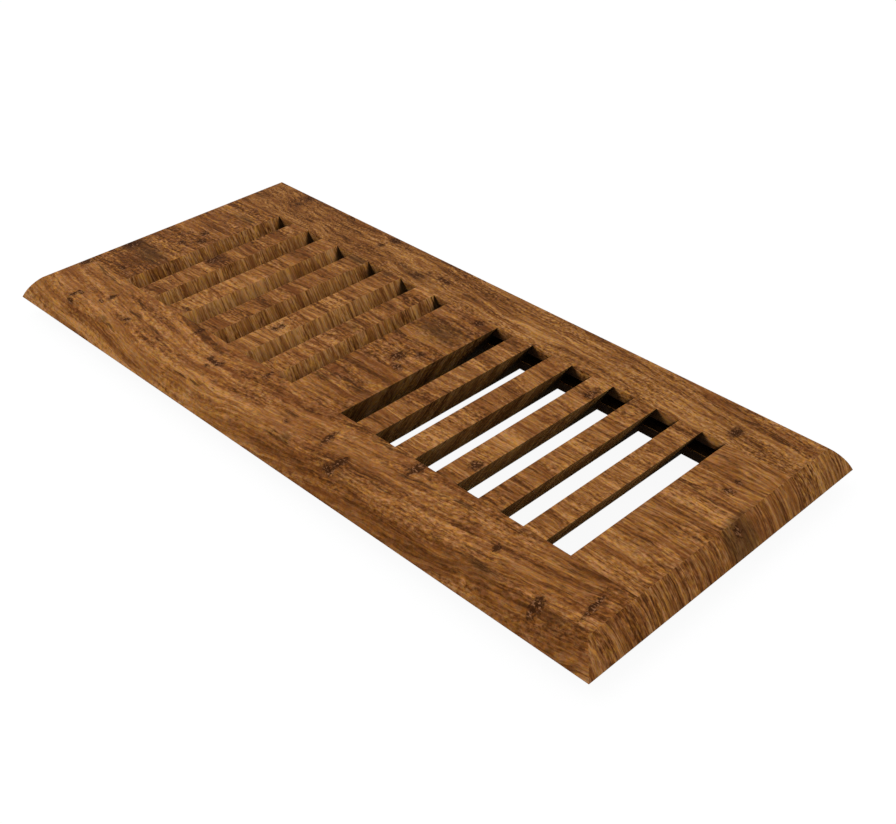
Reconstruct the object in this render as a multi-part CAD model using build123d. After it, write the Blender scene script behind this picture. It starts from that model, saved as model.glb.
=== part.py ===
from build123d import *
import math
import os

# Drop-in floor register of solid wood: two grooved rails, two end blocks, a wedge in the
# middle and two banks of slanted slats, all flush on top, with a moulded edge all round.
# The origin is the middle of the rim's underside, which lies on the floor. X runs along the
# length, Y across it and Z up.

# Rim and edge moulding
RIM_THICKNESS = 9.0
EDGE_INSET = 6.8
EDGE_BULGE = 0.7

# Rails
RAIL_WIDTH = 28.85
SLOT_LENGTH = 78.3
BODY_STEP = 4.0
SIDE_WALL = 9.35

# Groove in the rails, and the tongues that sit in it
GROOVE_LIP = 4.4
GROOVE_HEIGHT = 4.8
GROOVE_DEPTH = 6.0
JOINT_GAP = 0.1

# Slats, slots and blocks along the length
SLAT_SLANT = 30.4
SLAT_WIDTH = 9.4
SLAT_DROP = 4.4
SLATS_PER_BANK = 5
SLOT_WIDTH = 9.65
INNER_SLOT_WIDTH = 8.2
CENTER_FOOT = 5.4
END_LENGTH = 31.95
END_WALL = 7.65

# Heights above the rim's underside
TOP = RIM_THICKNESS
RAIL_BOTTOM = -BODY_STEP
INFILL_BOTTOM = RAIL_BOTTOM - SLAT_DROP
GROOVE_TOP = TOP - GROOVE_LIP
GROOVE_FLOOR = GROOVE_TOP - GROOVE_HEIGHT
TONGUE_TOP = GROOVE_TOP - JOINT_GAP
TONGUE_BOTTOM = GROOVE_FLOOR + JOINT_GAP
FOOT_TOP = RAIL_BOTTOM - JOINT_GAP

# Places along the length, measured from the middle
LEAN = math.tan(math.radians(SLAT_SLANT))
CENTER_HALF = CENTER_FOOT / 2 + LEAN * (TOP - INFILL_BOTTOM)
FIRST_SLAT = CENTER_HALF + INNER_SLOT_WIDTH
SLAT_PITCH = SLAT_WIDTH + SLOT_WIDTH
FIELD_HALF = FIRST_SLAT + SLATS_PER_BANK * SLAT_PITCH
BODY_HALF = FIELD_HALF + END_WALL
HALF_LENGTH = FIELD_HALF + END_LENGTH

# Places across the width, measured from the middle
INNER_HALF = SLOT_LENGTH / 2
TONGUE_HALF = INNER_HALF + GROOVE_DEPTH - JOINT_GAP
HALF_WIDTH = INNER_HALF + RAIL_WIDTH


def moulded_section(half_span):
    """Cross-section of the whole board, with the convex moulded edge on both sides of its rim."""
    crest = half_span - EDGE_INSET
    chord = math.hypot(EDGE_INSET, RIM_THICKNESS)
    bulge_out = EDGE_BULGE * RIM_THICKNESS / chord
    bulge_up = EDGE_BULGE * EDGE_INSET / chord
    middle_out = half_span - EDGE_INSET / 2 + bulge_out
    middle_up = RIM_THICKNESS / 2 + bulge_up
    right_edge = ThreePointArc((half_span, 0), (middle_out, middle_up), (crest, TOP))
    left_edge = ThreePointArc((-crest, TOP), (-middle_out, middle_up), (-half_span, 0))
    flat_top = Line((crest, TOP), (-crest, TOP))
    underside = Polyline(
        (-half_span, 0), (-half_span, INFILL_BOTTOM), (half_span, INFILL_BOTTOM), (half_span, 0)
    )
    return make_face(right_edge + flat_top + left_edge + underside)


def across(section, half_depth):
    """Extrudes a section drawn in X and Z evenly along Y."""
    return extrude(Plane.XZ * section, amount=half_depth, both=True)


def along(section, start, end):
    """Extrudes a section drawn in Y and Z along X, from start to end."""
    return extrude(Plane.YZ.offset(start) * section, amount=end - start)


# The moulded envelope: lengthways and crossways sections meet in mitred corners
ENVELOPE = along(moulded_section(HALF_WIDTH), -HALF_LENGTH, HALF_LENGTH) & across(
    moulded_section(HALF_LENGTH), HALF_WIDTH
)


def rail(side):
    """Long side of the frame: grooved and stepped along the body, plain rim towards both ends."""
    inner = side * INNER_HALF
    outer = side * HALF_WIDTH
    step = side * (INNER_HALF + SIDE_WALL)
    groove_back = side * (INNER_HALF + GROOVE_DEPTH)
    rim_section = make_face(
        Polyline((inner, 0), (inner, TOP), (outer, TOP), (outer, 0), close=True)
    )
    body_section = make_face(
        Polyline(
            (inner, TOP),
            (inner, GROOVE_TOP),
            (groove_back, GROOVE_TOP),
            (groove_back, GROOVE_FLOOR),
            (inner, GROOVE_FLOOR),
            (inner, RAIL_BOTTOM),
            (step, RAIL_BOTTOM),
            (step, 0),
            (outer, 0),
            (outer, TOP),
            close=True,
        )
    )
    blank = along(body_section, -BODY_HALF, BODY_HALF)
    blank += along(rim_section, -HALF_LENGTH, -BODY_HALF)
    blank += along(rim_section, BODY_HALF, HALF_LENGTH)
    return blank & ENVELOPE


def slanted_face(left, left_lean, right, right_lean, high, low):
    """Four-sided section: left and right are where its sides cut the top of the board, and each
    side moves along X by its lean for each millimetre below the top."""
    return make_face(
        Polyline(
            (left + left_lean * (TOP - high), high),
            (right + right_lean * (TOP - high), high),
            (right + right_lean * (TOP - low), low),
            (left + left_lean * (TOP - low), low),
            close=True,
        )
    )


def infill(left, left_lean, right, right_lean):
    """Slat or wedge: its shoulders meet the rails, its tongues reach into their grooves, and its
    feet pass under them."""
    sides = (left, left_lean, right, right_lean)
    body = across(slanted_face(*sides, TOP, INFILL_BOTTOM), INNER_HALF)
    tongues = across(slanted_face(*sides, TONGUE_TOP, TONGUE_BOTTOM), TONGUE_HALF)
    feet = across(slanted_face(*sides, FOOT_TOP, INFILL_BOTTOM), TONGUE_HALF)
    return body + tongues + feet


def slat(side, number):
    """Slat of one bank, counted from the end inwards. Its foot leans towards the middle."""
    near = FIRST_SLAT + (SLATS_PER_BANK - number) * SLAT_PITCH
    far = near + SLAT_WIDTH
    left, right = sorted((side * near, side * far))
    return infill(left, -side * LEAN, right, -side * LEAN)


def end_block(side):
    """Short side of the frame: moulded rim outside, body with a slanted slot wall inside."""
    slot_foot = FIELD_HALF - LEAN * (TOP - INFILL_BOTTOM)
    section = make_face(
        Polyline(
            (side * FIELD_HALF, TOP),
            (side * HALF_LENGTH, TOP),
            (side * HALF_LENGTH, 0),
            (side * BODY_HALF, 0),
            (side * BODY_HALF, INFILL_BOTTOM),
            (side * slot_foot, INFILL_BOTTOM),
            close=True,
        )
    )
    sides = (side * FIELD_HALF, -side * LEAN, side * (BODY_HALF - JOINT_GAP), 0)
    block = across(section, INNER_HALF) & ENVELOPE
    tongues = across(slanted_face(*sides, TONGUE_TOP, TONGUE_BOTTOM), TONGUE_HALF)
    feet = across(slanted_face(*sides, FOOT_TOP, INFILL_BOTTOM), TONGUE_HALF)
    return block + tongues + feet


LEFT = -1
RIGHT = 1
FRONT = -1
BACK = 1

nodes = {
    "front_rail": rail(FRONT),
    "back_rail": rail(BACK),
    "left_end_block": end_block(LEFT),
    "right_end_block": end_block(RIGHT),
    "center_block": infill(-CENTER_HALF, LEAN, CENTER_HALF, -LEAN),
}
for number in range(1, SLATS_PER_BANK + 1):
    nodes[f"left_slat_{number}"] = slat(LEFT, number)
    nodes[f"right_slat_{number}"] = slat(RIGHT, number)

os.makedirs("parts", exist_ok=True)
for name, shape in nodes.items():
    export_step(shape, f"parts/{name}.step")

print(f"overall {2 * HALF_LENGTH:.1f} x {2 * HALF_WIDTH:.1f} x {TOP - INFILL_BOTTOM:.1f} mm")
print(f"drop-in body {2 * BODY_HALF:.1f} x {2 * (INNER_HALF + SIDE_WALL):.1f} mm")
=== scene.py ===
import math
from collections import namedtuple
from types import SimpleNamespace

import bpy
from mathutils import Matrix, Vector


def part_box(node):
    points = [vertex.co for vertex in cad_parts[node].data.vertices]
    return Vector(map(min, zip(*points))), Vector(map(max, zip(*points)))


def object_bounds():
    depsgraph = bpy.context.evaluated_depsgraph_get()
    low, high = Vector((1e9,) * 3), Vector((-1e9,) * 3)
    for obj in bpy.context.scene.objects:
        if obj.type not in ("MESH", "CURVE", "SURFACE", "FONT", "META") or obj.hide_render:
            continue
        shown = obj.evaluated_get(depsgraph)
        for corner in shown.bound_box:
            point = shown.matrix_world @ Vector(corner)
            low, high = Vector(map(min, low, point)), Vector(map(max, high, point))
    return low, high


# Floor register of strand-woven bamboo: every piece keeps its solid and gets its own wood.
# The scene is in metres; the grain is worked out in millimetres.
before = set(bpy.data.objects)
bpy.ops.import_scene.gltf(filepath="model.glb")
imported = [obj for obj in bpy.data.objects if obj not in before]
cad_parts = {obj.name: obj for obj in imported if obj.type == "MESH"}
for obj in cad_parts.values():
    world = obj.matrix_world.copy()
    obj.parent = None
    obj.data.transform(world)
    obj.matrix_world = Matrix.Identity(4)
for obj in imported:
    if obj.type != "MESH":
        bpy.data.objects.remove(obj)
cad_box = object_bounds()

MM = 0.001

# Slack in millimetres, for finding a piece's corners and for telling faces apart by their place
SNAP = 0.01
MARGIN = 0.2


def corner_points(name):
    """Corners of a piece in millimetres."""
    return [vertex.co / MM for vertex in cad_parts[name].data.vertices]


def reach(name, level):
    """Lowest and highest x of a piece's corners at one height, in millimetres."""
    row = [corner.x for corner in corner_points(name) if abs(corner.z - level) < SNAP]
    return min(row), max(row)


# Places on the board in millimetres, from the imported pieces
BOARD_LEFT = cad_box[0].x / MM
BOARD_TOP = cad_box[1].z / MM
BOARD_FOOT = cad_box[0].z / MM
RAIL_INNER = -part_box("front_rail")[1].y / MM
TONGUE_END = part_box("left_end_block")[1].y / MM
BODY_END = reach("right_end_block", BOARD_FOOT)[1]
FIRST_SLAT, FIRST_SLAT_END = reach("right_slat_5", BOARD_TOP)
SLAT_WIDTH = FIRST_SLAT_END - FIRST_SLAT
SLAT_PITCH = reach("right_slat_4", BOARD_TOP)[0] - FIRST_SLAT
SLAT_LEAN = (FIRST_SLAT - reach("right_slat_5", BOARD_FOOT)[0]) / (BOARD_TOP - BOARD_FOOT)

# Heights of the rails' grooves, from the front rail's corners beside the tongues' ends
GROOVE_LEVELS = [
    corner.z for corner in corner_points("front_rail") if abs(corner.y + TONGUE_END) < MARGIN
]
GROOVE_TOP = max(GROOVE_LEVELS)
GROOVE_FLOOR = min(GROOVE_LEVELS)

# Camera at the photograph's viewing angle, in metres and degrees, with its lens in millimetres
CAMERA_PLACE = (0.3023, -0.2766, 0.2728)
CAMERA_TILT = 54.736
CAMERA_TURN = 45.0
CAMERA_LENS = 53.76
SENSOR_WIDTH = 36.0
CLIP_START = 0.01
CLIP_END = 20.0

# Light, in metres and watts
WHITE = (1.0, 1.0, 1.0, 1.0)
DOME_STRENGTH = 0.75
KEY_POWER = 5.0
KEY_SIZE = 1.0
KEY_PLACE = (-0.22, -0.62, 1.16)

# Floor, in metres
FLOOR_LEVEL = cad_box[0].z
FLOOR_HALF = 3.0
FLOOR_CORNERS = ((-1, -1), (1, -1), (1, 1), (-1, 1))
FLOOR_ALBEDO = 0.09
FLOOR_GLOW = 0.93

# Sizes of a normal's parts that tell the kinds of faces apart
SLIGHT_PART = 0.1
UPRIGHT_PART = 0.2
CROSSWISE_PART = 0.5
WALL_PART = 0.9
LEVEL_PART = 0.97

# How far the grain runs on for each millimetre down a face that leaves the top
RUN_ON_EDGE = 0.5
RUN_ON_CUT = 0.1
RUN_UNDERCUT = 1.5
RUN_UPRIGHT = 1.0

# How much finer the strands are on the faces that cut across them
CUT_FINENESS = 1.35

# Layers of the grain: width along the strands and across them in millimetres, place in the noise,
# then its detail and roughness where they aren't the plain ones
SWAY = (60.0, 34.0, 0.0)
RIPPLE = (15.0, 6.0, 3.1)
KINK = (4.0, 2.2, 4.3)
BROAD = (60.0, 6.5, 11.3)
LINE = (55.0, 1.5, 13.9)
BUNDLE = (24.0, 1.9, 0.0)
STRAND = (11.0, 0.95, 5.7, 3.0, 0.55)
FIBRE = (7.0, 0.45, 7.9)
CALM = (30.0, 9.0, 59.0)
GRIT = (2.0, 0.9, 41.0)
CRUMB = (1.2, 1.0, 43.0, 3.0, 0.6)
HUE = (1.4, 0.65, 47.0)
HUE_PATCH = (3.6, 1.5, 61.0)
TINT = (1.2, 0.6, 53.0)
BLUSH = (28.0, 2.4, 17.0)
CLUSTER = (17.0, 5.0, 19.0)
FLECK = (3.4, 0.62, 23.0)
SPECKLE = (1.1, 0.8, 31.0, 2.0, 0.6)
CRACK = (0.8, 1.5, 37.0, 3.0, 0.6)

# Step between the pieces' places in the noise, and the middle of noise, tones and tints
SEED_STEP = 13.7
MIDDLE = 0.5

# How far the strands stray sideways, in millimetres for each unit of noise
SWAY_REACH = 9.0
RIPPLE_REACH = 3.0
KINK_REACH = 0.85

# Lengths in millimetres over which a bow turns and the strands get shorter
BOW_ROUND = 15.0
TANGLE_REACH = 60.0

# Weights of the layers in the wood's lightness. Lines yield to broad bands.
BROAD_WEIGHT = 0.95
LINE_WEIGHT = 1.3
LINE_YIELD = 0.7
BUNDLE_WEIGHT = 0.36
STRAND_WEIGHT = 1.4
FIBRE_WEIGHT = 0.75
CRUMB_WEIGHT = 1.1
END_EDGE_CRUMBS = 0.35

# Painted light and shade against the top: lighter slots' and rails' walls and edge feet, darker end
# edges. The fade is painted shade on the slots' walls, for each millimetre down.
PAINTED_WALL_LIGHT = 0.2
PAINTED_WALL_FADE = -0.02
PAINTED_RAIL_WALL_LIGHT = 0.19
PAINTED_EDGE_LIGHT = 0.09
PAINTED_END_EDGE_SHADE = -0.045

# Swing of the tints with the noise, and redness of the slots' upward walls
HUE_SWING = 5.2
RED_SWING = 6.0
WALL_REDNESS = -0.3

# Painted light on the undercut walls: its brightness at the top, and its growth for each millimetre
# down
PAINTED_UNDERCUT_LIGHT = 1.2
PAINTED_UNDERCUT_GAIN = 0.10

# How noise breaks up the marks: the jitter is in millimetres, haze and breaks are (weight, base)
MARK_JITTER = 2.4
SMOKE_HAZE = (1.2, 0.7)
STREAK_BREAK = (2.4, 0.8)
STREAK_RIPPLE = 0.4
CRACK_WEIGHT = 1.6

# Painted shade in the slots: its shares, how much tighter the front rail's corners are, and the least
# depth in millimetres that their width is measured by
PAINTED_CORNER_SHADE = 0.92
PAINTED_GROOVE_SHADE = 0.95
PAINTED_LOWER_WALL_SHADE = 0.75
FRONT_CORNER = 1.9
LEAST_DEPTH = 0.05

# Smooth steps as (start, end) from zero to one, or as (start, end, value at start, value at end).
# The corners' painted shade steps with the distance for each millimetre of depth; the rails' walls'
# painted shade and the edges' painted light step with the height.
RAIL_CORNER_STEP = (1.3, 0.4)
UNDERCUT_CORNER_STEP = (3.0, 1.2)
LIT_CORNER_STEP = (1.0, 0.2)
UPPER_WALL_STEP = (BOARD_TOP - 0.8, GROOVE_TOP + 0.4, 0.0, 0.6)
EDGE_FOOT_STEP = (BOARD_TOP * 0.8, 0.0, 0.3, 1.0)
CALM_STEP = (-0.14, 0.14, 0.4, 1.3)
BLUSH_STEP = (0.02, 0.22, 0.0, 0.55)
CLUSTER_STEP = (-0.04, 0.14, 0.25, 1.0)
FLECK_STEP = (0.08, 0.24, 0.0, 0.75)
SMOKE_STEP = (0.2, 0.8, 0.0, 0.85)
STREAK_STEP = (0.2, 0.75, 0.0, 0.8)
HALO_STEP = (0.05, 0.6, 0.0, 0.5)
CRACK_STEP = (0.30, 0.62, 0.0, 0.88)
PALE_RING_STEP = (0.3, 0.55)
PALE_SPECK_STEP = (-0.05, -0.14, 0.0, 0.42)
WEAR_STEP = (0.995, 0.93, 0.0, 0.2)
UNSHADED_STEP = (0.3, 0.0)

# Surface: roughness, gloss, relief and soft edges, with lengths in metres
ROUGHNESS = 0.6
FIBRE_ROUGHNESS = 0.25
CRACK_ROUGHNESS = 0.15
UNDERCUT_ROUGHNESS = 0.4
SPECULAR_LEVEL = 0.03
RELIEF_STRENGTH = 0.35
RELIEF_HEIGHT = 0.25 * MM
FIBRE_RELIEF = 0.8
CRACK_RELIEF = -0.6
SOFT_EDGE_RADIUS = 0.2 * MM
SOFT_EDGE_SAMPLES = 4


def srgb(red, green, blue):
    """Scene-linear colour from eight-bit display values."""
    channels = []
    for value in (red, green, blue):
        share = value / 255
        channels.append(share / 12.92 if share <= 0.04045 else ((share + 0.055) / 1.055) ** 2.4)
    return (*channels, 1.0)


# Colours of the wood from dark to light, its tints, the colours of its marks, the tint of the
# undercuts' painted light and the colour of painted shade
WOOD_STOPS = (
    (0.00, srgb(76, 42, 14)),
    (0.25, srgb(108, 64, 27)),
    (0.50, srgb(138, 88, 44)),
    (0.75, srgb(162, 110, 58)),
    (1.00, srgb(188, 133, 76)),
)
WARM_TINT = (1.03, 1.0, 0.68, 1.0)
COOL_TINT = (0.97, 1.0, 1.36, 1.0)
RED_TINT = (1.06, 0.975, 0.975, 1.0)
GREEN_TINT = (0.94, 1.025, 1.025, 1.0)
# Tint of the painted light on the undercut walls
PAINTED_UNDERCUT_TINT = (0.70, 1.0, 1.20)
BLUSH_COLOR = srgb(118, 66, 30)
FLECK_COLOR = srgb(70, 40, 18)
SMOKE_COLOR = srgb(66, 44, 21)
STREAK_COLOR = srgb(62, 35, 13)
RING_COLOR = srgb(52, 27, 8)
RING_HALO = srgb(86, 47, 21)
RING_LIGHT = srgb(194, 138, 98)
WEAR_COLOR = srgb(196, 142, 84)
# Colour of the painted shade in the slots
PAINTED_SHADE_COLOR = srgb(8, 5, 2)

# Marks are (x, y, half along, half across, tilt in degrees, strength), placed in
# millimetres. A positive tilt falls to the right.

# Joint rings of the bamboo stems, cut across
RINGS = {
    "front_rail": (
        (-64.2, -41.4, 1.0, 3.0, 0, 0.7),
        (-22.8, -41.4, 1.0, 3.0, 0, 0.7),
        (-43.3, -50.3, 3.5, 1.0, 0, 0.9),
        (-46.2, -49.2, 0.9, 1.2, 0, 0.75),
        (-40.3, -49.1, 0.9, 1.2, 0, 0.75),
        (-43.5, -53.4, 1.3, 0.8, 0, 0.7),
        (-108.4, -50.6, 1.2, 2.8, 0, 0.72),
        (-109.0, -55.0, 1.3, 1.0, 0, 0.8),
        (-120.3, -56.9, 1.6, 1.2, 0, 0.85),
        (-121.5, -59.8, 1.0, 2.4, 0, 0.85),
        (-119.7, -63.0, 2.2, 0.9, 15, 0.9),
        (-90.4, -55.5, 1.3, 1.5, 0, 0.7),
        (21.3, -51.9, 1.3, 4.2, -8, 0.8),
        (34.0, -58.6, 1.5, 3.8, -6, 0.95),
        (33.2, -62.8, 2.3, 1.4, 0, 0.95),
        (53.7, -42.2, 1.9, 3.5, 0, 0.95),
        (98.9, -52.0, 1.3, 1.6, 0, 0.9),
        (135.1, -50.8, 1.1, 6.2, -10, 0.8),
        (123.1, -61.2, 2.1, 2.4, 0, 0.88),
        (122.8, -64.4, 1.4, 2.8, -12, 0.88),
        (3.4, -55.4, 1.4, 0.9, 20, 0.75),
        (-139.9, -41.8, 1.7, 3.0, 0, 0.9),
    ),
    "back_rail": (
        (-119.6, 59.2, 2.2, 1.8, 0, 0.8),
        (-118.8, 52.5, 1.4, 1.6, 0, 0.75),
        (-64.2, 59.4, 2.4, 2.0, 0, 0.85),
        (-66.0, 52.2, 1.4, 1.6, 0, 0.75),
        (-24.7, 49.7, 1.9, 1.3, 0, 0.85),
        (-28.1, 49.2, 1.3, 1.3, 0, 0.7),
        (-36.8, 45.2, 3.6, 1.0, -25, 0.7),
        (115.0, 46.9, 1.6, 2.8, 0, 0.9),
    ),
    "left_end_block": (
        (-126.1, 6.7, 1.7, 1.7, 0, 0.85),
        (-121.0, 1.4, 1.9, 2.2, 0, 0.8),
        (-126.0, -4.6, 1.9, 1.6, 0, 0.85),
        (-125.1, -34.5, 2.1, 1.3, 0, 0.75),
        (-139.2, -20.0, 2.2, 3.1, 0, 0.85),
    ),
    "center_block": (
        (5.8, 36.3, 1.7, 1.9, 0, 0.85),
        (0.7, -0.4, 2.5, 3.6, 0, 0.8),
        (5.9, 5.3, 1.6, 1.6, 0, 0.85),
        (5.9, -5.8, 2.0, 1.5, 0, 0.85),
    ),
    "right_end_block": (
        (131.3, 24.8, 1.5, 1.3, 0, 0.75),
        (131.6, 19.2, 1.7, 1.5, 0, 0.85),
        (143.8, 9.6, 1.8, 2.8, 0, 0.7),
    ),
    "left_slat_1": ((-104.4, -3.6, 2.6, 3.0, 0, 0.75), (-104.6, -6.4, 2.4, 1.2, 0, 0.9)),
    "left_slat_2": ((-80.6, -35.4, 1.7, 1.5, 0, 0.7),),
    "left_slat_4": ((-45.5, -17.5, 1.7, 1.3, 0, 0.85), (-45.5, -20.7, 1.7, 1.3, 0, 0.85)),
    "right_slat_3": (
        (66.6, 31.5, 1.7, 3.0, 0, 0.8),
        (66.0, 28.3, 1.7, 1.3, 0, 0.85),
        (66.3, -27.5, 1.9, 2.7, 0, 0.9),
    ),
}

# Soft dark patches
SMOKE = {
    "back_rail": (
        (-39.0, 45.4, 15.0, 5.0, 4, 0.55),
        (-37.4, 45.2, 4.5, 2.2, -25, 0.75),
        (115.0, 46.9, 2.4, 3.2, 0, 0.9),
        (113.0, 47.0, 8.0, 4.0, 0, 0.42),
        (-119.8, 58.8, 2.8, 2.3, 0, 0.75),
        (-119.6, 52.8, 2.2, 1.8, 0, 0.7),
        (-64.6, 58.9, 2.6, 2.2, 0, 0.75),
        (-65.8, 52.5, 2.0, 1.6, 0, 0.7),
        (-92.0, 58.0, 3.0, 2.0, 0, 0.45),
        (-138.5, 46.2, 3.5, 1.2, 0, 0.65),
    ),
    "front_rail": (
        (-97.4, -61.4, 2.2, 1.1, 15, 1.0),
        (10.6, -61.2, 2.4, 1.7, 0, 0.9),
        (100.0, -61.6, 6.0, 2.2, 0, 0.75),
        (123.8, -51.1, 1.8, 0.9, 0, 0.7),
        (130.0, -61.8, 12.0, 4.0, 0, 0.5),
        (40.0, -62.0, 20.0, 5.0, 0, 0.45),
    ),
    "left_end_block": (
        (-126.8, -20.0, 9.5, 5.5, 10, 0.9),
        (-138.7, -20.0, 3.2, 4.2, 0, 1.5),
        (-125.0, 27.4, 9.0, 2.8, 0, 0.7),
    ),
    "center_block": ((0.0, 21.6, 13.0, 6.5, 0, 0.8),),
    "left_slat_3": ((-63.3, 37.4, 3.8, 2.2, 0, 1.2),),
    "left_slat_4": ((-46.2, 37.7, 2.2, 1.8, 0, 1.1),),
    "left_slat_5": ((-26.0, 1.4, 7.0, 3.4, 0, 0.6), (-23.9, -1.0, 3.0, 1.0, 0, 0.6)),
    "right_end_block": ((145.2, 9.8, 4.2, 7.5, 0, 1.5),),
}

# Dark strands
STREAKS = {
    "front_rail": (
        (-126.0, -41.1, 10.0, 1.1, 7, 1.0),
        (-95.5, -45.3, 6.0, 1.0, 10, 0.8),
        (-90.8, -51.0, 4.5, 0.9, 4, 0.95),
        (-75.0, -53.2, 6.0, 1.0, 8, 0.85),
        (-92.8, -62.8, 5.0, 0.5, 4, 1.1),
        (-47.5, -63.1, 3.9, 0.5, 0, 1.1),
        (-38.9, -63.1, 3.3, 0.5, 0, 1.1),
        (-46.0, -44.5, 1.4, 0.7, 0, 0.9),
        (-41.4, -44.4, 1.4, 0.7, 0, 0.9),
        (2.0, -51.2, 3.2, 0.8, 0, 1.0),
        (7.5, -62.8, 6.5, 0.5, -4, 1.0),
        (39.0, -40.6, 10.0, 1.0, -6, 0.9),
        (62.0, -46.6, 24.0, 1.4, -6, 0.75),
        (77.0, -44.6, 4.5, 1.0, -6, 1.1),
        (122.0, -44.2, 22.0, 2.4, -7, 0.6),
        (54.0, -57.2, 14.0, 0.7, -3, 0.7),
        (81.5, -61.2, 2.4, 1.2, 0, 0.7),
        (100.0, -57.2, 14.0, 0.6, -6, 0.85),
        (100.6, -61.2, 2.8, 1.1, 0, 1.2),
        (102.0, -61.2, 10.0, 1.3, 0, 0.75),
    ),
    "back_rail": (
        (-46.5, 46.8, 3.5, 1.0, 8, 0.9),
        (-38.0, 44.0, 4.5, 0.7, 6, 1.4),
        (-36.5, 46.3, 2.6, 0.9, 12, 1.4),
        (-34.5, 49.6, 2.2, 1.0, 25, 0.9),
        (-28.0, 50.2, 3.0, 1.0, 12, 0.9),
        (-10.0, 47.8, 9.0, 0.6, 0, 0.8),
        (-24.0, 46.5, 2.0, 1.0, 10, 0.7),
        (-110.0, 46.3, 8.0, 1.0, 3, 0.55),
        (-81.0, 46.0, 4.0, 0.9, 6, 0.8),
        (-139.0, 46.5, 4.5, 1.0, 5, 0.7),
    ),
    "left_end_block": ((-122.0, 26.8, 4.0, 1.0, 0, 0.8), (-138.0, 1.6, 4.0, 0.9, 0, 0.7)),
    "center_block": (
        (-4.5, -24.6, 9.0, 1.1, -6, 0.95),
        (-8.0, -28.6, 6.0, 1.6, 0, 0.9),
        (6.0, -25.6, 5.0, 0.7, -4, 0.9),
    ),
    "right_end_block": (
        (122.0, 32.6, 6.5, 1.2, 6, 0.75),
        (127.0, 11.6, 7.5, 0.5, 3, 1.0),
        (122.5, 13.0, 1.8, 0.7, 0, 0.9),
        (136.0, 24.6, 5.0, 0.7, 5, 0.8),
        (127.0, -8.6, 9.0, 0.6, 0, 0.7),
        (129.0, -18.0, 10.0, 0.9, 0, 0.65),
    ),
}

# Bows of the strands as (middle, slope): they rise on both sides of the middle
BOW = {"front_rail": (-43.7, 0.11), "back_rail": (300.0, 0.06)}
STRAIGHT = (0.0, 0.0)

# Places along the length, in millimetres, left of which the strands get shorter
TANGLE = {"back_rail": -20.0}

# Tones of the pieces: lightness, its drift for each millimetre along the length, redness, and the
# shares of crumbs, broad bands, strands and colour patches
Tone = namedtuple("Tone", "lightness drift redness crumbs bands strands patches")
TONE = {
    "front_rail": Tone(-0.01, -0.0006, 0.15, 1.0, 1.3, 0.6, 1.3),
    "back_rail": Tone(0.01, 0.0007, -0.25, 1.25, 0.85, 1.0, 4.0),
    "left_end_block": Tone(-0.085, 0.0, 0.0, 1.35, 0.85, 1.0, 8.0),
    "center_block": Tone(-0.075, 0.0, 0.0, 1.15, 1.35, 0.6, 5.5),
    "right_end_block": Tone(0.06, 0.0, 0.0, 0.85, 0.4, 1.2, 1.9),
    "left_slat_1": Tone(-0.01, 0.0, 0.0, 1.1, 1.15, 1.0, 0.5),
    "left_slat_2": Tone(0.085, 0.0, 0.0, 1.0, 1.15, 1.0, 0.5),
    "left_slat_3": Tone(-0.10, 0.0, 0.0, 1.1, 1.15, 1.0, 0.5),
    "left_slat_4": Tone(0.07, 0.0, 0.0, 1.1, 1.15, 1.0, 0.5),
    "left_slat_5": Tone(-0.02, 0.0, 0.0, 1.1, 1.15, 1.0, 0.5),
    "right_slat_1": Tone(0.02, 0.0, 0.0, 1.0, 1.2, 1.0, 1.3),
    "right_slat_2": Tone(-0.02, 0.0, 0.0, 1.0, 1.2, 1.0, 1.3),
    "right_slat_3": Tone(0.125, 0.0, 0.0, 1.0, 1.2, 1.0, 1.3),
    "right_slat_4": Tone(0.05, 0.0, 0.0, 1.0, 1.2, 1.0, 1.3),
    "right_slat_5": Tone(-0.01, 0.0, 0.0, 1.0, 1.2, 1.0, 1.3),
}


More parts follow.
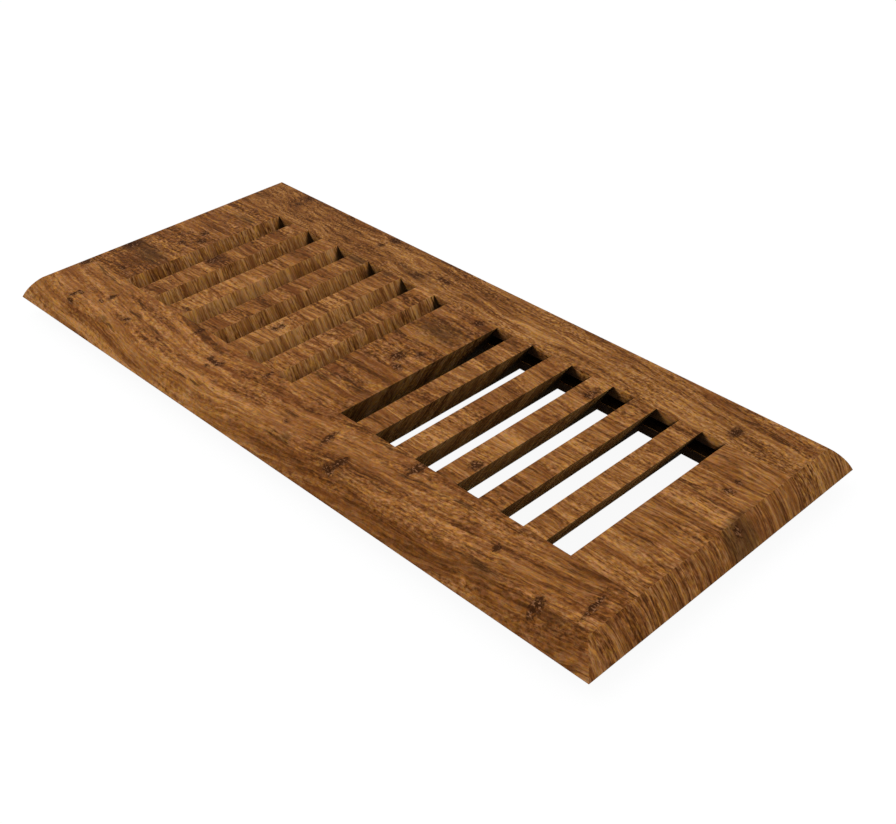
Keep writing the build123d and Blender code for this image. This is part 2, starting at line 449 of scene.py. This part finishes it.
class Wood:
    """Builds one material's node tree. Arguments are numbers or the sockets of earlier nodes."""

    def __init__(self, name, seed):
        self.seed = seed
        self.material = bpy.data.materials.new(name)
        self.material.use_nodes = True
        self.tree = self.material.node_tree
        self.tree.nodes.clear()

    def node(self, kind, **settings):
        made = self.tree.nodes.new(kind)
        for key, value in settings.items():
            setattr(made, key, value)
        return made

    def feed(self, socket, value):
        if isinstance(value, bpy.types.NodeSocket):
            self.tree.links.new(value, socket)
        else:
            socket.default_value = value

    def math(self, operation, *values):
        made = self.node("ShaderNodeMath", operation=operation)
        for socket, value in zip(made.inputs, values):
            self.feed(socket, value)
        return made.outputs[0]

    def add(self, *values):
        total = values[0]
        for value in values[1:]:
            total = self.math("ADD", total, value)
        return total

    def times(self, *values):
        total = values[0]
        for value in values[1:]:
            total = self.math("MULTIPLY", total, value)
        return total

    def size(self, value):
        return self.math("ABSOLUTE", value)

    def vector(self, x, y, z):
        made = self.node("ShaderNodeCombineXYZ")
        for socket, value in zip(made.inputs, (x, y, z)):
            self.feed(socket, value)
        return made.outputs[0]

    def vector_math(self, operation, *values):
        made = self.node("ShaderNodeVectorMath", operation=operation)
        for socket, value in zip(made.inputs, values):
            self.feed(socket, value)
        return made

    def split(self, vector):
        made = self.node("ShaderNodeSeparateXYZ")
        self.feed(made.inputs[0], vector)
        return made.outputs

    def step(self, value, start, end, low=0.0, high=1.0):
        """Smooth step of value from start to end."""
        made = self.node("ShaderNodeMapRange", interpolation_type="SMOOTHSTEP")
        for socket, number in zip(made.inputs, (value, start, end, low, high)):
            self.feed(socket, number)
        return made.outputs[0]

    def noise(self, vector, detail=2.0, roughness=0.5):
        made = self.node("ShaderNodeTexNoise", noise_dimensions="3D")
        self.feed(made.inputs["Vector"], vector)
        made.inputs["Scale"].default_value = 1.0
        made.inputs["Detail"].default_value = detail
        made.inputs["Roughness"].default_value = roughness
        return made.outputs[0]

    def blend(self, share, first, second, mode="MIX"):
        made = self.node("ShaderNodeMix", data_type="RGBA", blend_type=mode)
        self.feed(made.inputs["Factor"], share)
        self.feed(made.inputs["A"], first)
        self.feed(made.inputs["B"], second)
        return made.outputs["Result"]

    def tinted(self, color, tint):
        return self.blend(1.0, color, tint, "MULTIPLY")

    def color_ramp(self, value, stops):
        made = self.node("ShaderNodeValToRGB")
        self.feed(made.inputs[0], value)
        elements = made.color_ramp.elements
        while len(elements) < len(stops):
            elements.new(MIDDLE)
        for element, (place, color) in zip(elements, stops):
            element.position = place
            element.color = color
        return made.outputs[0]


def read_faces(wood):
    """Place on the board and depth below its top in millimetres, the normal and its parts, and
    shares of the kinds of faces: the slots' upward and undercut walls, the ends' moulded edges,
    the foot of all moulded edges, and the rails' inner walls."""
    place = wood.node("ShaderNodeTexCoord").outputs["Object"]
    x, y, z = wood.split(wood.vector_math("MULTIPLY", place, (1 / MM,) * 3).outputs[0])
    normal = wood.node("ShaderNodeNewGeometry").outputs["True Normal"]
    nx, ny, nz = wood.split(normal)
    inside = wood.math("LESS_THAN", wood.size(x), BODY_END - MARGIN)
    crosswise = wood.math("GREATER_THAN", wood.size(nx), CROSSWISE_PART)
    leaning = wood.times(crosswise, inside)
    upward = wood.math("GREATER_THAN", nz, SLIGHT_PART)
    downward = wood.math("LESS_THAN", nz, -SLIGHT_PART)
    tilted = wood.math("GREATER_THAN", nz, UPRIGHT_PART)
    sloping = wood.times(tilted, wood.math("LESS_THAN", nz, LEVEL_PART))
    moulded = wood.math("MAXIMUM", 0.0, wood.math("SUBTRACT", sloping, leaning))
    lengthwise = wood.math("GREATER_THAN", wood.size(ny), WALL_PART)
    return SimpleNamespace(
        x=x,
        y=y,
        z=z,
        depth=wood.math("SUBTRACT", BOARD_TOP, z),
        normal=normal,
        nx=nx,
        ny=ny,
        nz=nz,
        inside=inside,
        downward=downward,
        lit_wall=wood.times(leaning, upward),
        undercut=wood.times(leaning, downward),
        end_edge=wood.times(moulded, crosswise),
        edge_foot=wood.times(moulded, wood.step(z, *EDGE_FOOT_STEP)),
        rail_wall=wood.times(lengthwise, wood.math("LESS_THAN", wood.size(y), RAIL_INNER + MARGIN)),
    )


def painted_corner_shade(wood, face):
    """Painted shade in the corners where the slots' walls meet the rails, on the slats and on the
    rails. Each widens with the depth below the top, less so at the front rail."""
    depth = wood.math("MAXIMUM", face.depth, LEAST_DEPTH)

    def near(distance, step):
        return wood.step(wood.math("DIVIDE", distance, depth), *step)

    from_front = wood.math("MULTIPLY_ADD", face.y, FRONT_CORNER, RAIL_INNER * FRONT_CORNER)
    from_rail = wood.math("MINIMUM", wood.math("SUBTRACT", RAIL_INNER, face.y), from_front)
    at_top = wood.math("MULTIPLY_ADD", depth, SLAT_LEAN, wood.size(face.x))
    in_pitch = wood.math("MODULO", wood.add(at_top, SLAT_PITCH - FIRST_SLAT), SLAT_PITCH)
    by_undercut = near(wood.math("SUBTRACT", in_pitch, SLAT_WIDTH), UNDERCUT_CORNER_STEP)
    by_lit_wall = near(wood.math("SUBTRACT", SLAT_PITCH, in_pitch), LIT_CORNER_STEP)
    return near(from_rail, RAIL_CORNER_STEP), wood.math("MAXIMUM", by_undercut, by_lit_wall)


def painted_slot_shade(wood, face):
    """Share of painted shade in the grooves, on the rails' inner walls and in the slots' corners."""
    slat_corner, rail_corner = painted_corner_shade(wood, face)
    aside = wood.size(face.y)
    # Painted shade inside the grooves
    in_groove = wood.times(
        wood.math("GREATER_THAN", aside, RAIL_INNER + MARGIN),
        wood.math("LESS_THAN", aside, TONGUE_END + MARGIN),
        face.inside,
        wood.math("LESS_THAN", face.z, GROOVE_TOP + MARGIN),
        wood.math("GREATER_THAN", face.z, GROOVE_FLOOR - MARGIN),
    )
    # Painted shade on the rails' inner walls, darker down towards the groove, and on the wall below it
    upper = wood.step(face.z, *UPPER_WALL_STEP)
    lower = wood.times(wood.math("LESS_THAN", face.z, GROOVE_FLOOR + MARGIN), PAINTED_LOWER_WALL_SHADE)
    on_wall = wood.math("MAXIMUM", upper, lower)
    # Painted shade in the rails' corners beside the slots
    on_wall = wood.math("MAXIMUM", on_wall, wood.times(rail_corner, PAINTED_CORNER_SHADE))
    on_rail = wood.math(
        "MAXIMUM", wood.times(in_groove, PAINTED_GROOVE_SHADE), wood.times(face.rail_wall, on_wall)
    )
    # Painted shade on the slats' walls near the rails
    on_slat = wood.times(wood.add(face.lit_wall, face.undercut), slat_corner, PAINTED_CORNER_SHADE)
    return wood.math("MAXIMUM", on_rail, on_slat)


def run_on(wood, face):
    """Places along and across the strands, in millimetres. They follow the surface over the
    moulded edges and down into the slots. The strands are finer on the ends' edges and on the
    slots' upward walls, which cut across them."""

    def outward(part):
        leaves = wood.math("GREATER_THAN", wood.size(part), SLIGHT_PART)
        return wood.times(wood.math("SIGN", part), leaves, face.depth)

    cut = wood.add(face.lit_wall, face.end_edge)
    upright = wood.math("LESS_THAN", wood.size(face.nz), UPRIGHT_PART)
    run_x = wood.math("MULTIPLY_ADD", face.downward, RUN_UNDERCUT - RUN_ON_EDGE, RUN_ON_EDGE)
    run_x = wood.math("MULTIPLY_ADD", cut, RUN_ON_CUT - RUN_ON_EDGE, run_x)
    run_y = wood.math("MULTIPLY_ADD", upright, RUN_UPRIGHT - RUN_ON_EDGE, RUN_ON_EDGE)
    along = wood.math("MULTIPLY_ADD", outward(face.nx), run_x, face.x)
    across = wood.math("MULTIPLY_ADD", outward(face.ny), run_y, face.y)
    return along, wood.times(across, wood.math("MULTIPLY_ADD", cut, CUT_FINENESS - 1, 1.0))


def stretched(wood, u, v, kind):
    """Place in the noise of a layer, stretched along the strands."""
    along, across, offset = kind[:3]
    return wood.vector(wood.times(u, 1 / along), wood.times(v, 1 / across), wood.seed + offset)


def layer(wood, u, v, kind):
    """Noise of a layer, centred on zero."""
    return wood.math("SUBTRACT", wood.noise(stretched(wood, u, v, kind), *kind[3:]), MIDDLE)


def bundles(wood, u, v):
    """One random tone for each pressed bundle of strands, centred on zero."""
    made = wood.node("ShaderNodeTexVoronoi", voronoi_dimensions="3D", feature="F1")
    wood.feed(made.inputs["Vector"], stretched(wood, u, v, BUNDLE))
    made.inputs["Scale"].default_value = 1.0
    return wood.math("SUBTRACT", wood.split(made.outputs["Color"])[0], MIDDLE)


def lay_strands(wood, face, bow, tangle):
    """Course of the strands in millimetres: along and across are places on the board, u and flow
    the same after the strands' shortening, bow and stray. Layers that several steps need are
    here too, and so is the jittered place that marks are looked up at."""
    along, across = run_on(wood, face)
    past_start = wood.math("MINIMUM", wood.math("SUBTRACT", along, tangle), 0.0)
    u = wood.math("MULTIPLY_ADD", wood.times(past_start, past_start), -0.5 / TANGLE_REACH, along)
    middle, slope = bow
    from_middle = wood.math("SUBTRACT", along, middle)
    squared = wood.math("MULTIPLY_ADD", from_middle, from_middle, BOW_ROUND * BOW_ROUND)
    lift = wood.times(wood.math("SQRT", squared), slope)
    sway = wood.times(layer(wood, u, across, SWAY), SWAY_REACH)
    ripple = wood.times(layer(wood, u, across, RIPPLE), RIPPLE_REACH)
    kink = wood.times(layer(wood, u, across, KINK), KINK_REACH)
    flow = wood.add(wood.math("SUBTRACT", across, lift), sway, ripple, kink)
    speck = layer(wood, u, across, SPECKLE)
    jitter = wood.times(speck, MARK_JITTER)
    return SimpleNamespace(
        along=along,
        across=across,
        u=u,
        flow=flow,
        ripple=ripple,
        kink=kink,
        strand=layer(wood, u, flow, STRAND),
        fibre=layer(wood, u, flow, FIBRE),
        fleck=layer(wood, u, flow, FLECK),
        speck=speck,
        jittered=wood.vector(wood.add(along, jitter), wood.math("SUBTRACT", across, jitter), 0.0),
    )


def lightness(wood, face, grain, tone):
    """Lightness from broad bands, lines, bundles, strands and fibres, with crumbs between calmer
    places, and painted light and shade by the kind of face."""
    calm = wood.step(layer(wood, grain.u, grain.flow, CALM), *CALM_STEP)
    calm = wood.math("MULTIPLY_ADD", face.end_edge, END_EDGE_CRUMBS, calm)
    grit = layer(wood, grain.u, grain.flow, GRIT)
    crumb = layer(wood, grain.u, grain.across, CRUMB)
    # Painted light on the upward walls, less for each millimetre down
    painted_wall_light = wood.math("MULTIPLY_ADD", face.depth, PAINTED_WALL_FADE, PAINTED_WALL_LIGHT)
    return wood.add(
        wood.math("MULTIPLY_ADD", face.x, tone.drift, MIDDLE + tone.lightness),
        wood.times(layer(wood, grain.u, grain.flow, BROAD), tone.bands * BROAD_WEIGHT),
        wood.times(layer(wood, grain.u, grain.flow, LINE), LINE_WEIGHT - tone.bands * LINE_YIELD),
        wood.times(bundles(wood, grain.u, grain.flow), BUNDLE_WEIGHT),
        wood.times(grain.strand, tone.strands * STRAND_WEIGHT),
        wood.times(grain.fibre, FIBRE_WEIGHT),
        wood.times(grit, calm, tone.crumbs),
        wood.times(crumb, calm, tone.crumbs * CRUMB_WEIGHT),
        # Painted light on the upward walls, rails' inner walls and edges' feet; painted shade on the
        # ends' edges
        wood.times(face.lit_wall, painted_wall_light),
        wood.times(face.rail_wall, PAINTED_RAIL_WALL_LIGHT),
        wood.times(face.edge_foot, PAINTED_EDGE_LIGHT),
        wood.times(face.end_edge, PAINTED_END_EDGE_SHADE),
    )


def tint(wood, face, grain, tone, value):
    """Colour for a lightness, with warmer and cooler, redder and greener places."""
    patch = layer(wood, grain.u, grain.flow, HUE_PATCH)
    patch = wood.math("MULTIPLY_ADD", patch, tone.patches, MIDDLE)
    hue = layer(wood, grain.u, grain.flow, HUE)
    hue = wood.math("MULTIPLY_ADD", hue, tone.crumbs * HUE_SWING, patch)
    wall_red = wood.math("MULTIPLY_ADD", face.lit_wall, WALL_REDNESS, MIDDLE + tone.redness)
    red = layer(wood, grain.u, grain.flow, TINT)
    red = wood.math("MULTIPLY_ADD", red, tone.crumbs * RED_SWING, wall_red)
    color = wood.color_ramp(value, WOOD_STOPS)
    color = wood.tinted(color, wood.blend(hue, WARM_TINT, COOL_TINT))
    return wood.tinted(color, wood.blend(red, GREEN_TINT, RED_TINT))


def add_flecks(wood, grain, color):
    """Reddish strands, and short dark flecks in clusters."""
    blush = wood.step(layer(wood, grain.u, grain.flow, BLUSH), *BLUSH_STEP)
    color = wood.blend(blush, color, BLUSH_COLOR)
    cluster = wood.step(layer(wood, grain.u, grain.flow, CLUSTER), *CLUSTER_STEP)
    fleck = wood.step(grain.fleck, *FLECK_STEP)
    return wood.blend(wood.times(fleck, cluster), color, FLECK_COLOR)


def spots(wood, place, marks):
    """Nearness to the oval marks: a mark's strength in its middle, half of that on its rim and
    nothing at twice its size."""
    nearness = 0.0
    for x, y, along, across, tilt, strength in marks:
        local = wood.vector_math("SUBTRACT", place, (x, y, 0.0)).outputs[0]
        turned = wood.node("ShaderNodeVectorRotate", rotation_type="Z_AXIS")
        wood.feed(turned.inputs["Vector"], local)
        turned.inputs["Angle"].default_value = math.radians(tilt)
        shares = (1 / along, 1 / across, 0.0)
        scaled = wood.vector_math("MULTIPLY", turned.outputs[0], shares).outputs[0]
        distance = wood.vector_math("LENGTH", scaled).outputs["Value"]
        cone = wood.math("MULTIPLY_ADD", distance, -strength / 2, strength)
        nearness = wood.math("MAXIMUM", nearness, cone)
    return nearness


def add_smoke(wood, grain, color, marks):
    """Soft dark patches, hazy along the strands."""
    smoke = wood.step(spots(wood, grain.jittered, marks), *SMOKE_STEP)
    haze = wood.math("MULTIPLY_ADD", grain.strand, *SMOKE_HAZE)
    return wood.blend(wood.times(smoke, haze), color, SMOKE_COLOR)


def add_streaks(wood, grain, color, marks):
    """Dark strands that wave with the grain and break off."""
    wave = wood.add(grain.across, grain.kink, wood.times(grain.ripple, STREAK_RIPPLE))
    near = spots(wood, wood.vector(grain.along, wave, 0.0), marks)
    streak = wood.times(near, wood.math("MULTIPLY_ADD", grain.fleck, *STREAK_BREAK))
    return wood.blend(wood.step(streak, *STREAK_STEP), color, STREAK_COLOR)


def add_rings(wood, grain, color, marks):
    """Joint rings with a dark halo, dark cracks and pale specks. The cracks' share comes with the
    colour."""
    near = spots(wood, grain.jittered, marks)
    color = wood.blend(wood.step(near, *HALO_STEP), color, RING_HALO)
    crack = layer(wood, grain.u, grain.across, CRACK)
    crack = wood.step(wood.math("MULTIPLY_ADD", crack, CRACK_WEIGHT, near), *CRACK_STEP)
    color = wood.blend(crack, color, RING_COLOR)
    pale = wood.times(
        wood.step(near, *PALE_RING_STEP), wood.step(grain.speck, *PALE_SPECK_STEP)
    )
    return wood.blend(pale, color, RING_LIGHT), crack


def paint_slot_light_and_shade(wood, face, color, shade):
    """Painted light on the undercut walls, where little light falls, and painted shade where its share
    is.
    """
    # Painted light on the undercut walls, growing with depth
    gain = wood.math("MULTIPLY_ADD", face.depth, PAINTED_UNDERCUT_GAIN, PAINTED_UNDERCUT_LIGHT)
    lifted = wood.vector_math("MULTIPLY", wood.vector(gain, gain, gain), PAINTED_UNDERCUT_TINT).outputs[0]
    color = wood.blend(face.undercut, color, wood.tinted(color, lifted))
    # Painted shade over the colour
    return wood.blend(shade, color, PAINTED_SHADE_COLOR)


def wear_edges(wood, face, color, shade):
    """Edges worn a little lighter, but not where shade is painted. The edges' soft normal comes with
    the colour."""
    soft_edge = wood.node("ShaderNodeBevel", samples=SOFT_EDGE_SAMPLES)
    soft_edge.inputs["Radius"].default_value = SOFT_EDGE_RADIUS
    soft_normal = soft_edge.outputs[0]
    facing = wood.vector_math("DOT_PRODUCT", soft_normal, face.normal).outputs["Value"]
    wear = wood.times(wood.step(facing, *WEAR_STEP), wood.step(shade, *UNSHADED_STEP))
    return wood.blend(wear, color, WEAR_COLOR), soft_normal


def bamboo(name, seed):
    """Strand-woven bamboo of one piece, from its faces and strands to its colour and surface."""
    wood = Wood(f"bamboo_{name}", seed)
    face = read_faces(wood)
    shade = painted_slot_shade(wood, face)
    grain = lay_strands(wood, face, BOW.get(name, STRAIGHT), TANGLE.get(name, BOARD_LEFT))
    value = lightness(wood, face, grain, TONE[name])
    color = tint(wood, face, grain, TONE[name], value)
    color = add_flecks(wood, grain, color)
    color = add_smoke(wood, grain, color, SMOKE.get(name, ()))
    color = add_streaks(wood, grain, color, STREAKS.get(name, ()))
    color, crack = add_rings(wood, grain, color, RINGS.get(name, ()))
    color = paint_slot_light_and_shade(wood, face, color, shade)
    color, soft_normal = wear_edges(wood, face, color, shade)

    shader = wood.node("ShaderNodeBsdfPrincipled")
    wood.feed(shader.inputs["Base Color"], color)
    roughness = wood.add(
        ROUGHNESS,
        wood.times(grain.fibre, FIBRE_ROUGHNESS),
        wood.times(crack, CRACK_ROUGHNESS),
        wood.times(face.undercut, UNDERCUT_ROUGHNESS),
    )
    wood.feed(shader.inputs["Roughness"], roughness)
    shader.inputs["Specular IOR Level"].default_value = SPECULAR_LEVEL
    relief = wood.node("ShaderNodeBump")
    relief.inputs["Strength"].default_value = RELIEF_STRENGTH
    relief.inputs["Distance"].default_value = RELIEF_HEIGHT
    height = wood.add(
        value, wood.times(grain.fibre, FIBRE_RELIEF), wood.times(crack, CRACK_RELIEF)
    )
    wood.feed(relief.inputs["Height"], height)
    wood.feed(relief.inputs["Normal"], soft_normal)
    wood.feed(shader.inputs["Normal"], relief.outputs[0])
    output = wood.node("ShaderNodeOutputMaterial")
    wood.feed(output.inputs["Surface"], shader.outputs[0])
    return wood.material


def dress():
    """Gives every piece its own wood, so that the seams show as changes of grain."""
    for index, (name, piece) in enumerate(sorted(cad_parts.items())):
        material = bamboo(name, index * SEED_STEP)
        piece.data.materials.clear()
        piece.data.materials.append(material)


def shown_ray(tree):
    """One where the camera, a reflection or glass looks, and zero for light that only bounces."""
    path = tree.nodes.new("ShaderNodeLightPath")
    share = path.outputs["Is Camera Ray"]
    for kind in ("Is Glossy Ray", "Is Transmission Ray"):
        either = tree.nodes.new("ShaderNodeMath")
        either.operation = "MAXIMUM"
        tree.links.new(share, either.inputs[0])
        tree.links.new(path.outputs[kind], either.inputs[1])
        share = either.outputs[0]
    return share


def add_floor():
    """Pale floor that shows nearly white and keeps the register's shadow."""
    mesh = bpy.data.meshes.new("studio_floor")
    outline = [(x * FLOOR_HALF, y * FLOOR_HALF, FLOOR_LEVEL) for x, y in FLOOR_CORNERS]
    mesh.from_pydata(outline, [], [(0, 1, 2, 3)])
    floor = bpy.data.objects.new("studio_floor", mesh)
    bpy.context.scene.collection.objects.link(floor)
    material = bpy.data.materials.new("pale_floor")
    material.use_nodes = True
    tree = material.node_tree
    tree.nodes.clear()
    diffuse = tree.nodes.new("ShaderNodeBsdfDiffuse")
    diffuse.inputs["Color"].default_value = (FLOOR_ALBEDO, FLOOR_ALBEDO, FLOOR_ALBEDO, 1.0)
    glow = tree.nodes.new("ShaderNodeEmission")
    strength = tree.nodes.new("ShaderNodeMath")
    strength.operation = "MULTIPLY"
    strength.inputs[1].default_value = FLOOR_GLOW
    tree.links.new(shown_ray(tree), strength.inputs[0])
    tree.links.new(strength.outputs[0], glow.inputs["Strength"])
    both = tree.nodes.new("ShaderNodeAddShader")
    tree.links.new(diffuse.outputs[0], both.inputs[0])
    tree.links.new(glow.outputs[0], both.inputs[1])
    output = tree.nodes.new("ShaderNodeOutputMaterial")
    tree.links.new(both.outputs[0], output.inputs["Surface"])
    mesh.materials.append(material)


def add_light():
    """Even dome of light that shows as white, and one large soft lamp above."""
    world = bpy.data.worlds.new("studio_dome")
    bpy.context.scene.world = world
    world.use_nodes = True
    tree = world.node_tree
    tree.nodes.clear()
    dome = tree.nodes.new("ShaderNodeBackground")
    dome.inputs["Color"].default_value = WHITE
    dome.inputs["Strength"].default_value = DOME_STRENGTH
    white = tree.nodes.new("ShaderNodeBackground")
    white.inputs["Color"].default_value = WHITE
    mix = tree.nodes.new("ShaderNodeMixShader")
    tree.links.new(shown_ray(tree), mix.inputs[0])
    tree.links.new(dome.outputs[0], mix.inputs[1])
    tree.links.new(white.outputs[0], mix.inputs[2])
    output = tree.nodes.new("ShaderNodeOutputWorld")
    tree.links.new(mix.outputs[0], output.inputs["Surface"])

    lamp = bpy.data.lights.new("soft_key", "AREA")
    lamp.size = KEY_SIZE
    lamp.energy = KEY_POWER
    key = bpy.data.objects.new("soft_key", lamp)
    key.location = KEY_PLACE
    aim = -key.location
    key.rotation_euler = aim.to_track_quat("-Z", "Y").to_euler()
    bpy.context.scene.collection.objects.link(key)


def add_camera():
    """Camera at the photograph's place, with its lens."""
    camera = bpy.data.objects.new("camera", bpy.data.cameras.new("camera"))
    camera.location = CAMERA_PLACE
    camera.rotation_euler = (math.radians(CAMERA_TILT), 0.0, math.radians(CAMERA_TURN))
    camera.data.lens = CAMERA_LENS
    camera.data.sensor_width = SENSOR_WIDTH
    camera.data.clip_start = CLIP_START
    camera.data.clip_end = CLIP_END
    bpy.context.scene.collection.objects.link(camera)
    bpy.context.scene.camera = camera


dress()
add_floor()
add_light()
add_camera()
bpy.context.scene.view_settings.view_transform = "Standard"
